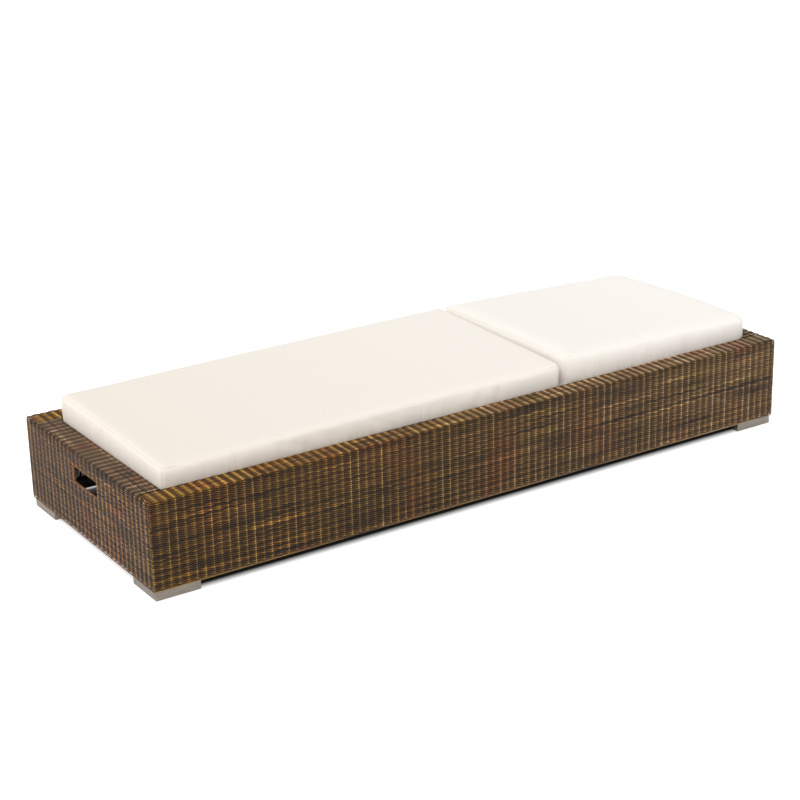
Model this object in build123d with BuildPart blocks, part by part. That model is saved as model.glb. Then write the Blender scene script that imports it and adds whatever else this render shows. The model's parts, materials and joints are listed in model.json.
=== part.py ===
from build123d import *

import os
from math import cos, radians

os.makedirs("parts", exist_ok=True)

# A low woven lounger. X runs along it, with the head end at +X and the handle end at -X.
# The long side at -Y is called the front, the one at +Y the back. Z is up from the floor.

# Overall size of the woven base
length = 2000.0
width = 720.0
rim_height = 258.0
base_height = 26.0

# Woven skin, one strand and one stake thick, that wraps the frame
weave_thickness = 6.0
rim_edge_radius = 6.0
lip_edge_radius = 8.0
corner_edge_radius = 5.0

# Stakes inside the weave. Each one raises a rib, with a groove between it and the next
side_stakes = 86
end_stakes = 30
rib_crown_width = 12.0
weave_under_groove = 4.0

# Carrying slot in each end
slot_width = 135.0
slot_height = 43.0
slot_below_rim = 44.0
slot_corner_radius = 6.0

# Aluminium frame tubes
tube_size = 25.0
tube_wall = 2.0
top_rail_width = 57.0
side_post_count = 2
bearer_count = 5
bearer_end_gap = 5.0

# Decks
deck_drop = 33.0
slat_thickness = 12.0
slat_wall = 1.5
slat_gap = 26.0
slat_count = 4
slat_end_gap = 5.0

# Backrest, its hinge and its stops
head_section_length = 655.0
hinge_to_bearer = 20.0
stile_to_lip = 6.0
backrest_end_gap = 6.0
rest_bearer_inset = 7.5
middle_tube_to_rack = 6.5
backrest_angle = 65.0

# Prop stay, made of two flat arms and a rod that rides over two notched racks
prop_rod_to_rest_bearer = 69.0
arm_width = 20.0
arm_thickness = 5.0
arm_to_stile = 2.0
rod_radius = 7.0
rod_to_rack = 0.5
rack_thickness = 6.0
rack_overrun = 15.0
rack_to_arm = 47.0
notch_radius = 7.5
first_notch_angle = 15.0
notch_count = 6

# Riveted pivot pins
pin_radius = 5.0
pin_head_radius = 8.0
pin_head_thickness = 4.0
pin_tail_radius = 7.0
pin_tail_thickness = 2.5
running_clearance = 0.05
side_clearance = 0.3

# Block feet
foot_size = 122.0
foot_inset = 5.0
foot_wall = 3.0
glide_proud = 2.0
glide_side_gap = 0.3
screw_radius = 3.0
screw_head_radius = 6.0
screw_head_thickness = 4.0
screw_head_depth = 8.0
screw_reach = 8.0
screw_from_corner = 62.0

# Cushions
cushion_side_room = 10.0
cushion_clearance = 0.3
cushion_bottom_radius = 8.0
leg_cushion_to_hinge = 5.7
leg_cushion_height_foot_end = 86.0
leg_cushion_height_gap_end = 95.0
leg_cushion_crown = 7.0
leg_cushion_edge_radius = 9.0
head_cushion_end_gap = 3.7
head_cushion_height_gap_end = 109.0
head_cushion_height_head_end = 90.0
head_cushion_crown = 12.0
head_cushion_edge_radius = 22.0
cushion_gap = 7.0
side_draw_in = 3.5
side_bulge = 3.0

# Overrun of every cutting tool past the face it starts from
overrun = 1.0

# Planes and levels worked out from the sizes above
half_length = length / 2
half_width = width / 2
rim_width = top_rail_width + 2 * weave_thickness
side_stake_pitch = length / side_stakes
end_stake_pitch = width / end_stakes
groove_depth = weave_thickness - weave_under_groove
inside_half_length = half_length - rim_width
inside_half_width = half_width - rim_width
frame_half_length = half_length - weave_thickness
frame_half_width = half_width - weave_thickness
bottom_rail_top = base_height + tube_size
top_rail_bottom = rim_height - weave_thickness - tube_size
deck_top = rim_height - deck_drop
bearer_top = deck_top - slat_thickness
bearer_bottom = bearer_top - tube_size
ledge_bottom = bearer_bottom - tube_size
ledge_inner = frame_half_width - 2 * tube_size
hinge_x = inside_half_length - head_section_length
hinge_z = bearer_top - tube_size / 2
hinge_bearer_x = hinge_x - hinge_to_bearer - tube_size / 2
first_bearer_x = -inside_half_length + bearer_end_gap + tube_size / 2
bearer_pitch = (hinge_bearer_x - first_bearer_x) / (bearer_count - 1)
stile_outer = inside_half_width - stile_to_lip
stile_inner = stile_outer - tube_size
backrest_end = inside_half_length - backrest_end_gap
rest_bearer_x = backrest_end - rest_bearer_inset - tube_size / 2
arm_outer = stile_inner - arm_to_stile
arm_inner = arm_outer - arm_thickness
rod_x = rest_bearer_x - prop_rod_to_rest_bearer
prop_length = (rod_x - hinge_x) / 2
prop_pivot_x = hinge_x + prop_length
rack_top = hinge_z - rod_radius - rod_to_rack
lowest_rod_x = hinge_x + 2 * prop_length * cos(radians(backrest_angle))
rack_start = lowest_rod_x - rack_overrun
rack_end = rod_x + rack_overrun
rack_outer = arm_inner - rack_to_arm
rack_inner = rack_outer - rack_thickness
deck_width = 2 * (arm_inner + arm_to_stile)
slat_width = (deck_width - (slat_count - 1) * slat_gap) / slat_count
cushion_bottom = deck_top + cushion_clearance
cushion_width = 2 * inside_half_width - cushion_side_room
cushion_middle_y = cushion_width / 2 + cushion_clearance - inside_half_width
print("stakes every", round(side_stake_pitch, 2), "along and", round(end_stake_pitch, 2), "across")
print("slat width", round(slat_width, 1), "bearer pitch", round(bearer_pitch, 1))
print("prop length", round(prop_length, 1), "hinge at", round(hinge_x, 1))


def save(piece, name):
    piece.part.label = name
    export_step(piece.part, f"parts/{name}.step")


def tube(plane, run, across=tube_size, up=tube_size, wall=tube_wall):
    """A hollow tube centred on the plane that runs both ways along its normal."""
    with BuildPart() as bar:
        with BuildSketch(plane):
            Rectangle(across, up)
            Rectangle(across - 2 * wall, up - 2 * wall, mode=Mode.SUBTRACT)
        extrude(amount=run / 2, both=True)
    return bar


def across_plane(x, y, z):
    """A plane whose normal runs along the width, with its own x along the lounger and its y up."""
    return Plane(origin=(x, y, z), x_dir=(1, 0, 0), z_dir=(0, -1, 0))


def along_plane(x, y, z):
    """A plane whose normal runs along the lounger, with its own x across and its y up."""
    return Plane(origin=(x, y, z), x_dir=(0, 1, 0), z_dir=(1, 0, 0))


def mirrored(piece, plane):
    """The same piece on the other side of the lounger."""
    with BuildPart() as other:
        mirror(piece.part, about=plane)
    return other


# Woven skins: each wraps one side over the rim and down to the deck bearers
def skin_profile(plane):
    """The wrapped section: outer wall, rim and inner lip, with its outer face on the plane's y axis."""
    with BuildSketch(plane) as profile:
        with BuildLine():
            Polyline(
                (0, base_height),
                (0, rim_height),
                (rim_width, rim_height),
                (rim_width, bearer_top),
                (rim_width - weave_thickness, bearer_top),
                (rim_width - weave_thickness, rim_height - weave_thickness),
                (weave_thickness, rim_height - weave_thickness),
                (weave_thickness, base_height),
                close=True,
            )
        make_face()
        rim_corners = profile.vertices().group_by(Axis.Y)[-1].sort_by(Axis.X)
        fillet(rim_corners[0], radius=rim_edge_radius)
        rim_corners = profile.vertices().group_by(Axis.Y)[-1].sort_by(Axis.X)
        fillet(rim_corners[-1], radius=lip_edge_radius)
    return profile


def grooves(plane, pitch, count):
    """A row of vee grooves along the plane's x axis. They are cut down from its y axis' zero."""
    opening = pitch - rib_crown_width
    half_opening = opening / 2 * (groove_depth + overrun) / groove_depth
    with BuildSketch(plane) as row:
        with GridLocations(pitch, pitch, count, 1):
            Polygon((-half_opening, overrun), (0, -groove_depth), (half_opening, overrun), align=None)
    return row


front_profile = skin_profile(along_plane(-half_length, -half_width, 0))
with BuildPart() as front_weave:
    extrude(front_profile.sketch, amount=length)
    outer_ends = front_weave.edges().filter_by(Axis.Z).group_by(Axis.Y)[0]
    fillet(outer_ends, radius=corner_edge_radius)
    for end in (-1, 1):
        with BuildSketch(Plane((end * half_length, -inside_half_width, bearer_top))):
            Rectangle(2 * rim_width, 2 * (rim_width - weave_thickness))
        extrude(amount=rim_height - weave_thickness - bearer_top, mode=Mode.SUBTRACT)
    wall_top = (0, -half_width, rim_height + overrun)
    wall_plane = Plane(origin=wall_top, x_dir=(1, 0, 0), z_dir=(0, 0, -1))
    wall_grooves = grooves(wall_plane, side_stake_pitch, side_stakes - 2)
    extrude(wall_grooves.sketch, amount=rim_height - base_height + 2 * overrun, mode=Mode.SUBTRACT)
    lip_plane = across_plane(0, overrun - inside_half_width, rim_height)
    rim_grooves = grooves(lip_plane, side_stake_pitch, side_stakes - 2)
    extrude(rim_grooves.sketch, amount=rim_width + 2 * overrun, mode=Mode.SUBTRACT)
save(front_weave, "front_weave")
save(mirrored(front_weave, Plane.XZ), "back_weave")

foot_end_profile = skin_profile(across_plane(-half_length, inside_half_width, 0))
with BuildPart() as foot_end_weave:
    extrude(foot_end_profile.sketch, amount=2 * inside_half_width)
    with BuildSketch(along_plane(-half_length, 0, (base_height + rim_height - weave_thickness) / 2)):
        Rectangle(2 * frame_half_width, rim_height - weave_thickness - base_height)
    extrude(amount=weave_thickness)
    slot_middle = rim_height - slot_below_rim - slot_height / 2
    with BuildSketch(along_plane(-half_length - overrun, 0, slot_middle)):
        RectangleRounded(slot_width, slot_height, slot_corner_radius)
    extrude(amount=weave_thickness + 2 * overrun, mode=Mode.SUBTRACT)
    wall_top = (-half_length, 0, rim_height + overrun)
    wall_plane = Plane(origin=wall_top, x_dir=(0, -1, 0), z_dir=(0, 0, -1))
    wall_grooves = grooves(wall_plane, end_stake_pitch, end_stakes - 2)
    extrude(wall_grooves.sketch, amount=rim_height - base_height + 2 * overrun, mode=Mode.SUBTRACT)
    rim_groove_count = 2 * int(inside_half_width / end_stake_pitch)
    edge_plane = along_plane(-half_length - overrun, 0, rim_height)
    rim_grooves = grooves(edge_plane, end_stake_pitch, rim_groove_count)
    extrude(rim_grooves.sketch, amount=rim_width + 2 * overrun, mode=Mode.SUBTRACT)
save(foot_end_weave, "foot_end_weave")
save(mirrored(foot_end_weave, Plane.YZ), "head_end_weave")

# Bottom rails butt between the corner posts
corner_post_x = frame_half_length - tube_size / 2
corner_post_y = frame_half_width - tube_size / 2
bottom_rail_z = base_height + tube_size / 2
foot_middle_x = half_length - foot_inset - foot_size / 2
foot_middle_y = half_width - foot_inset - foot_size / 2
screw_x = half_length - screw_from_corner
screw_y = half_width - screw_from_corner
screw_hole_radius = screw_radius + running_clearance


def drilled(blank, spots, radius, direction):
    """The blank with a round hole through its walls at each spot, along one direction."""
    with BuildPart() as piece:
        add(blank.part)
        for spot in spots:
            with BuildSketch(Plane(origin=spot, z_dir=direction)):
                Circle(radius)
        extrude(amount=tube_size, both=True, mode=Mode.SUBTRACT)
    return piece


for name, side in (("front", -1), ("back", 1)):
    blank = tube(along_plane(0, side * corner_post_y, bottom_rail_z), 2 * (frame_half_length - tube_size))
    spots = [(end * screw_x, side * corner_post_y, base_height - tube_size + tube_wall) for end in (-1, 1)]
    save(drilled(blank, spots, screw_hole_radius, (0, 0, 1)), f"{name}_bottom_rail")
for name, end in (("foot_end", -1), ("head_end", 1)):
    blank = tube(across_plane(end * corner_post_x, 0, bottom_rail_z), 2 * (frame_half_width - tube_size))
    spots = [(end * corner_post_x, side * screw_y, base_height - tube_size + tube_wall) for side in (-1, 1)]
    save(drilled(blank, spots, screw_hole_radius, (0, 0, 1)), f"{name}_bottom_rail")

# Top rails fill the rim under the weave
top_rail_z = top_rail_bottom + tube_size / 2
top_rail_y = frame_half_width - top_rail_width / 2
for name, side in (("front", -1), ("back", 1)):
    rail = tube(along_plane(0, side * top_rail_y, top_rail_z), 2 * frame_half_length, across=top_rail_width)
    save(rail, f"{name}_top_rail")
top_rail_x = frame_half_length - top_rail_width / 2
for name, end in (("foot_end", -1), ("head_end", 1)):
    rail = tube(
        across_plane(end * top_rail_x, 0, top_rail_z),
        2 * (frame_half_width - top_rail_width),
        across=top_rail_width,
    )
    save(rail, f"{name}_top_rail")

# Posts carry the top rails
post_run = top_rail_bottom - base_height
for name, side in (("front", -1), ("back", 1)):
    for end_name, end in (("foot_end", -1), ("head_end", 1)):
        post_plane = Plane((end * corner_post_x, side * corner_post_y, base_height + post_run / 2))
        save(tube(post_plane, post_run), f"{name}_{end_name}_corner_post")
side_post_run = top_rail_bottom - bottom_rail_top
side_post_z = bottom_rail_top + side_post_run / 2
side_post_pitch = 2 * corner_post_x / (side_post_count + 1)
for name, side in (("front", -1), ("back", 1)):
    for number in range(1, side_post_count + 1):
        post_plane = Plane((number * side_post_pitch - corner_post_x, side * corner_post_y, side_post_z))
        save(tube(post_plane, side_post_run), f"{name}_side_post_{number}")

# Ledge rails on the posts' inner faces, and the bearers that lie across them
ledge_y = ledge_inner + tube_size / 2
ledge_z = ledge_bottom + tube_size / 2
for name, side in (("front", -1), ("back", 1)):
    save(tube(along_plane(0, side * ledge_y, ledge_z), 2 * frame_half_length), f"{name}_ledge_rail")
bearer_z = bearer_bottom + tube_size / 2
bearer_run = 2 * (frame_half_width - tube_size)
for number in range(bearer_count - 1):
    bearer_x = first_bearer_x + number * bearer_pitch
    save(tube(across_plane(bearer_x, 0, bearer_z), bearer_run), f"leg_deck_bearer_{number + 1}")
save(tube(across_plane(hinge_bearer_x, 0, bearer_z), bearer_run), "hinge_bearer")
save(tube(across_plane(rest_bearer_x, 0, ledge_z), 2 * ledge_inner), "backrest_rest_bearer")


# Flat hollow slats along both decks
def slats(start, stop, name):
    for number in range(slat_count):
        slat_y = (slat_width - deck_width) / 2 + number * (slat_width + slat_gap)
        slat_plane = along_plane((start + stop) / 2, slat_y, deck_top - slat_thickness / 2)
        slat = tube(slat_plane, stop - start, across=slat_width, up=slat_thickness, wall=slat_wall)
        save(slat, f"{name}_slat_{number + 1}")


slats(slat_end_gap - inside_half_length, hinge_bearer_x + tube_size / 2, "leg_deck")
slats(hinge_x + hinge_to_bearer, backrest_end - slat_end_gap, "backrest")

# Backrest frame: two stiles on the hinge pins, joined by three cross tubes
stile_start = hinge_x - tube_size / 2
stile_y = (stile_outer + stile_inner) / 2
pivot_spots = ((hinge_x, 0, hinge_z), (prop_pivot_x, 0, hinge_z))
for name, side in (("front", -1), ("back", 1)):
    blank = tube(
        along_plane((stile_start + backrest_end) / 2, side * stile_y, hinge_z), backrest_end - stile_start
    )
    spots = [(x, side * stile_y, z) for x, y, z in pivot_spots]
    save(drilled(blank, spots, pin_radius + running_clearance, (0, 1, 0)), f"backrest_{name}_stile")
cross_tube_places = (
    ("hinge", hinge_x + hinge_to_bearer + tube_size / 2),
    ("middle", rack_start - middle_tube_to_rack - tube_size / 2),
    ("head", backrest_end - tube_size / 2),
)
for name, x in cross_tube_places:
    save(tube(across_plane(x, 0, hinge_z), 2 * stile_inner), f"backrest_{name}_cross_tube")

# Hinge brackets welded to the hinge bearer
for name, side in (("front", -1), ("back", 1)):
    bracket_middle = side * (arm_inner + arm_outer) / 2
    bearer_face = hinge_bearer_x + tube_size / 2
    with BuildPart() as bracket:
        with BuildSketch(across_plane(bearer_face, bracket_middle, hinge_z)):
            Rectangle(hinge_to_bearer, tube_size, align=(Align.MIN, Align.CENTER))
            with Locations((hinge_to_bearer, 0)):
                Circle(tube_size / 2)
                Circle(pin_radius + running_clearance, mode=Mode.SUBTRACT)
        extrude(amount=arm_thickness / 2, both=True)
    save(bracket, f"hinge_bracket_{name}")


# Riveted pins through a flat bar and a stile: head inside, tail outside
def rivet_pins(x, name):
    with BuildPart() as pins:
        for side in (-1, 1):
            head_plane = Plane(
                origin=(x, side * (arm_inner - side_clearance - pin_head_thickness), hinge_z),
                z_dir=(0, side, 0),
            )
            shank_length = stile_outer - arm_inner + 2 * side_clearance
            with BuildSketch(head_plane):
                Circle(pin_head_radius)
            extrude(amount=pin_head_thickness)
            with BuildSketch(head_plane):
                Circle(pin_radius)
            extrude(amount=pin_head_thickness + shank_length)
            with BuildSketch(head_plane.offset(pin_head_thickness + shank_length)):
                Circle(pin_tail_radius)
            extrude(amount=pin_tail_thickness)
    save(pins, name)


rivet_pins(hinge_x, "hinge_pins")
rivet_pins(prop_pivot_x, "prop_pivot_pins")

# Prop stay
for name, side in (("front", -1), ("back", 1)):
    with BuildPart() as arm:
        arm_middle_x = (prop_pivot_x + rod_x) / 2
        with BuildSketch(across_plane(arm_middle_x, side * (arm_inner + arm_outer) / 2, hinge_z)):
            SlotCenterToCenter(prop_length, arm_width)
            with Locations((-prop_length / 2, 0)):
                Circle(pin_radius + running_clearance, mode=Mode.SUBTRACT)
            with Locations((prop_length / 2, 0)):
                Circle(rod_radius + running_clearance, mode=Mode.SUBTRACT)
        extrude(amount=arm_thickness / 2, both=True)
    save(arm, f"prop_arm_{name}")
with BuildPart() as prop_rod:
    with BuildSketch(across_plane(rod_x, 0, hinge_z)):
        Circle(rod_radius)
    extrude(amount=arm_outer, both=True)
save(prop_rod, "prop_rod")

# Notched racks and the rails that carry them
rack_rail_y = rack_outer + tube_size / 2
notch_pitch = (backrest_angle - first_notch_angle) / (notch_count - 1)
rack_rail_start = hinge_bearer_x - tube_size / 2
rack_rail_end = rest_bearer_x - tube_size / 2
for name, side in (("front", -1), ("back", 1)):
    rack_y = side * (rack_inner + rack_outer) / 2
    with BuildPart() as rack:
        with BuildSketch(across_plane(hinge_x, rack_y, rack_top)):
            with Locations(((rack_start + rack_end) / 2 - hinge_x, 0)):
                Rectangle(rack_end - rack_start, rack_top - ledge_bottom, align=(Align.CENTER, Align.MAX))
            for number in range(notch_count):
                angle = radians(first_notch_angle + number * notch_pitch)
                with Locations((2 * prop_length * cos(angle), 0)):
                    Circle(notch_radius, mode=Mode.SUBTRACT)
        extrude(amount=rack_thickness / 2, both=True)
    save(rack, f"prop_rack_{name}")
    rail_plane = along_plane((rack_rail_start + rack_rail_end) / 2, side * rack_rail_y, ledge_z)
    save(tube(rail_plane, rack_rail_end - rack_rail_start), f"rack_rail_{name}")

# Block feet: folded pans with a plastic glide pressed in from below
pan_height = base_height - glide_proud
glide_size = foot_size - 2 * foot_wall - 2 * glide_side_gap
glide_height = base_height - foot_wall
corners = [(end * foot_middle_x, side * foot_middle_y) for end in (-1, 1) for side in (-1, 1)]
screw_spots = [(end * screw_x, side * corner_post_y) for end in (-1, 1) for side in (-1, 1)]
screw_spots += [(end * corner_post_x, side * screw_y) for end in (-1, 1) for side in (-1, 1)]


def near(spots, corner):
    """The screw places that lie over one foot."""
    return [s for s in spots if all(abs(a - b) < foot_size / 2 for a, b in zip(s, corner))]


for corner in corners:
    side_name = "front" if corner[1] < 0 else "back"
    end_name = "foot_end" if corner[0] < 0 else "head_end"
    with BuildPart() as pan:
        with BuildSketch(Plane((*corner, glide_proud))):
            Rectangle(foot_size, foot_size)
        extrude(amount=pan_height)
        with BuildSketch(Plane((*corner, glide_proud))):
            Rectangle(foot_size - 2 * foot_wall, foot_size - 2 * foot_wall)
        extrude(amount=pan_height - foot_wall, mode=Mode.SUBTRACT)
        with BuildSketch(Plane.XY.offset(glide_proud)):
            with Locations(*near(screw_spots, corner)):
                Circle(screw_hole_radius)
        extrude(amount=pan_height, mode=Mode.SUBTRACT)
    save(pan, f"{side_name}_{end_name}_foot")
with BuildPart() as glides:
    with BuildSketch():
        with Locations(*corners):
            Rectangle(glide_size, glide_size)
        with Locations(*screw_spots):
            Circle(screw_hole_radius, mode=Mode.SUBTRACT)
    extrude(amount=glide_height)
    with BuildSketch():
        with Locations(*screw_spots):
            Circle(screw_head_radius + side_clearance)
    extrude(amount=screw_head_depth, mode=Mode.SUBTRACT)
save(glides, "foot_glides")
with BuildPart() as screws:
    head_bottom = screw_head_depth - screw_head_thickness
    with BuildSketch(Plane.XY.offset(head_bottom)):
        with Locations(*screw_spots):
            Circle(screw_head_radius)
    extrude(amount=screw_head_thickness)
    with BuildSketch(Plane.XY.offset(head_bottom)):
        with Locations(*screw_spots):
            Circle(screw_radius)
    extrude(amount=base_height + screw_reach - head_bottom)
save(screws, "foot_screws")


# Box cushions: lofts through sections with a flat base, bulged sides and a crowned top
def cushion_section(x, inset, height, crown, edge_radius):
    """One section across a cushion: its edges stand at the height, its middle a crown higher."""
    half = cushion_width / 2 - side_bulge - inset
    low = cushion_bottom_radius
    high = height - edge_radius
    low_turn = low * (1 - cos(radians(45)))
    high_turn = edge_radius * (1 - cos(radians(45)))
    with BuildSketch(along_plane(x, cushion_middle_y, cushion_bottom)) as section:
        with BuildLine():
            flat = half - edge_radius
            Line((low - half, 0), (half - low, 0))
            ThreePointArc((half - low, 0), (half - low_turn, low_turn), (half, low))
            ThreePointArc((half, low), (half + side_bulge, (low + high) / 2), (half, high))
            ThreePointArc((half, high), (half - high_turn, height - high_turn), (flat, height))
            ThreePointArc((flat, height), (0, height + crown), (-flat, height))
            ThreePointArc((-flat, height), (high_turn - half, height - high_turn), (-half, high))
            ThreePointArc((-half, high), (-half - side_bulge, (low + high) / 2), (-half, low))
            ThreePointArc((-half, low), (low_turn - half, low_turn), (low - half, 0))
        make_face()
    return section


# Shares along an end's rounding: how far in it stands, how far it steps inwards, how high it has risen
end_rounding_shares = ((0.0, 1.0, 0.35), (0.25, 0.45, 0.72), (1.0, 0.0, 1.0))
# Shares along the cushion: the place, how far the sides are drawn in, how far the top is crowned
middle_shares = ((0.12, 0.45, 0.85), (0.3, 0.9, 1.0), (0.5, 1.0, 1.0), (0.7, 0.9, 1.0), (0.88, 0.45, 0.85))


def cushion(start, stop, start_height, stop_height, crown, edge_radius, name):
    """A cushion from one end to the other, rounded at both ends and drawn in between its corners."""
    run = stop - start
    stations = []
    for along, inset, risen in end_rounding_shares:
        drop = edge_radius * (1 - risen)
        stations.append((along * edge_radius, inset * edge_radius / 2, drop, risen / 2))
        stations.append((run - along * edge_radius, inset * edge_radius / 2, drop, risen / 2))
    for along, drawn, crowned in middle_shares:
        stations.append((along * run, drawn * side_draw_in, 0, crowned))
    sections = []
    for along, inset, drop, crowned in sorted(stations):
        height = start_height + (stop_height - start_height) * along / run - drop
        section = cushion_section(start + along, inset, height, crown * crowned, edge_radius)
        sections.append(section.sketch)
    with BuildPart() as body:
        loft(sections, ruled=True)
    save(body, name)


leg_cushion_end = hinge_x - leg_cushion_to_hinge
cushion(
    cushion_clearance - inside_half_length,
    leg_cushion_end,
    leg_cushion_height_foot_end,
    leg_cushion_height_gap_end,
    leg_cushion_crown,
    leg_cushion_edge_radius,
    "leg_cushion",
)
cushion(
    leg_cushion_end + cushion_gap,
    inside_half_length - head_cushion_end_gap,
    head_cushion_height_gap_end,
    head_cushion_height_head_end,
    head_cushion_crown,
    head_cushion_edge_radius,
    "head_cushion",
)
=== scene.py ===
# %% [markdown]
# # A low woven lounger
#
# This notebook dresses the construction model of a garden lounger: a box base woven in synthetic
# wicker, four metal block feet, and two loose cushions in ivory cloth. The construction model is
# loaded first and never changes. Everything below is placed from its sizes.

import json
from math import cos, pi, radians, sin

import bmesh
import bpy
import numpy as np
from mathutils import Matrix, Vector


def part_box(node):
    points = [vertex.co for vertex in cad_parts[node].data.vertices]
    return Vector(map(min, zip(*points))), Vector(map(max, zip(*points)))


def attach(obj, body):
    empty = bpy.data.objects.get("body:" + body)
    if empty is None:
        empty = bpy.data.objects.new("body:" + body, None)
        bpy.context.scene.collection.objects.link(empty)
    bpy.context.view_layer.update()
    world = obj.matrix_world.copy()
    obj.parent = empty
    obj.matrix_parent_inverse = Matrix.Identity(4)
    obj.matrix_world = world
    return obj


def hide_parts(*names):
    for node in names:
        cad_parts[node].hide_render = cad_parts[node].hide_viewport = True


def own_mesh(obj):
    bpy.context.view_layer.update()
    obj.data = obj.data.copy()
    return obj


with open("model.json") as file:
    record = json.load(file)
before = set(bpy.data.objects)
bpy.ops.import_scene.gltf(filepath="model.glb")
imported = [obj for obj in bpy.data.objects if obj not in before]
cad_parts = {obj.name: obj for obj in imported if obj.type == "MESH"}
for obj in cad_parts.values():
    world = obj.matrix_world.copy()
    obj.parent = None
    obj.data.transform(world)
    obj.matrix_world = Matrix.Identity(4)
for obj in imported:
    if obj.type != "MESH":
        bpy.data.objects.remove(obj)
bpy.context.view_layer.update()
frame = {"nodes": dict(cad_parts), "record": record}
mm = 0.001
scene = bpy.context.scene

# %% [markdown]
# ## The camera
#
# A product photograph of long furniture is taken from a few metres away with a long lens, so that the
# far end doesn't shrink much. Position, heading and lens come from matching the corners of the woven
# box. The small roll says that the tripod wasn't quite level.

# %% Camera
camera_place = Vector((-2.76935, -4.17960, 2.07550))
heading, looking_down, roll = radians(32.9935), radians(20.6273), radians(-1.2443)
camera_data = bpy.data.cameras.new("camera")
camera_data.lens = 87.10
camera_data.sensor_width = 36.0
camera = bpy.data.objects.new("camera", camera_data)
turn = Matrix.Rotation(-heading, 4, "Z") @ Matrix.Rotation(pi / 2 - looking_down, 4, "X")
camera.matrix_world = Matrix.Translation(camera_place) @ turn @ Matrix.Rotation(roll, 4, "Z")
scene.collection.objects.link(camera)
scene.camera = camera
print("camera", round(camera_place.length, 2), "m from the middle of the base")

# %% [markdown]
# ## Colour and node helpers
#
# Colours are written as they look on a screen. Blender's shaders want linear light, so one function
# turns a hex code into that. A second one adds a shader node, sets what it is told and makes its links.

# %% Helpers for materials


def linear(hex_code):
    """A screen colour such as #8a7355 as linear red, green, blue and alpha."""
    parts = [int(hex_code[place:place + 2], 16) / 255 for place in (1, 3, 5)]
    return (*[p / 12.92 if p <= 0.04045 else ((p + 0.055) / 1.055) ** 2.4 for p in parts], 1.0)


def add_node(material, kind, inputs=None, stops=None, **settings):
    """Adds a node. Inputs are values, or outputs of other nodes. Stops are a ramp's places and colours."""
    node = material.node_tree.nodes.new(kind)
    for name, value in settings.items():
        setattr(node, name, value)
    for name, value in (inputs or {}).items():
        if isinstance(value, bpy.types.NodeSocket):
            material.node_tree.links.new(value, node.inputs[name])
        else:
            node.inputs[name].default_value = value
    for number, (place, colour) in enumerate(stops or ()):
        elements = node.color_ramp.elements
        inside = 0 < number < len(stops) - 1
        element = elements.new(place) if inside else elements[0 if number == 0 else -1]
        element.position = place
        element.color = colour
    return node


def new_material(name):
    """A node material with no nodes yet."""
    material = bpy.data.materials.new(name)
    material.use_nodes = True
    material.node_tree.nodes.clear()
    return material


print("ivory in linear light", [round(part, 3) for part in linear("#f0ebe3")])

# %% [markdown]
# ## Wicker strands
#
# The strands are extruded polyethylene, coloured through in the melt. The colour drifts while the strand is
# drawn, so one strand goes from taupe to olive and reddish brown along its length. The surface is smooth and
# a little waxy, so each ridge carries a soft highlight, and a painted highlight along the crests adds to it.
#
# Two noises give the colour: a fast one that runs along each strand, read from the strand's own map, and a
# slow one over the whole base, for the olive and reddish areas. The bobbins differ too, which comes in as the
# tint of each strand, and that tint holds painted light as well. The painted ridge light says where a point
# lies on a ridge, and the colour paints light and shade from it: painted shade darkens the valleys to a warm
# brown and the right flank of each ridge, and a painted highlight makes the crests pale and greyish.

# %% Wicker material
wicker = new_material("extruded_polyethylene_wicker")
strand_map = add_node(wicker, "ShaderNodeUVMap", uv_map="strand")
# The colour drifts over 250 mm of a strand. 3.7 puts two bobbins far apart in the noise.
along_strand = add_node(
    wicker, "ShaderNodeMapping", {"Vector": strand_map.outputs["UV"], "Scale": (1 / 0.25, 3.7, 1.0)}
)
streaks = add_node(
    wicker, "ShaderNodeTexNoise", {"Vector": along_strand.outputs["Vector"], "Scale": 1.0, "Detail": 2.0}
)
strand_colours = add_node(
    wicker,
    "ShaderNodeValToRGB",
    {"Fac": streaks.outputs["Fac"]},
    stops=(
        (0.33, linear("#423220")),
        (0.41, linear("#634d32")),
        (0.60, linear("#785e3d")),
        (0.71, linear("#9c7f57")),
    ),
)
place_on_base = add_node(wicker, "ShaderNodeTexCoord")
# Olive and reddish areas, about 110 mm across and 200 mm high.
slow_place = add_node(
    wicker, "ShaderNodeMapping", {"Vector": place_on_base.outputs["Object"], "Scale": (9.0, 9.0, 5.0)}
)
slow_drift = add_node(
    wicker, "ShaderNodeTexNoise", {"Vector": slow_place.outputs["Vector"], "Scale": 1.0, "Detail": 2.0}
)
drift_colours = add_node(
    wicker,
    "ShaderNodeValToRGB",
    {"Fac": slow_drift.outputs["Fac"]},
    stops=(
        (0.32, (0.92, 1.0, 0.80, 1.0)),
        (0.45, (0.98, 1.0, 0.98, 1.0)),
        (0.56, (1.0, 0.98, 1.0, 1.0)),
        (0.68, (1.16, 0.90, 0.86, 1.0)),
    ),
)
# The tint holds the bobbins' tones and each side's painted light.
bobbin_tint_and_painted_light = add_node(wicker, "ShaderNodeAttribute", attribute_name="tint")
relief = add_node(wicker, "ShaderNodeAttribute", attribute_name="relief")
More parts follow.
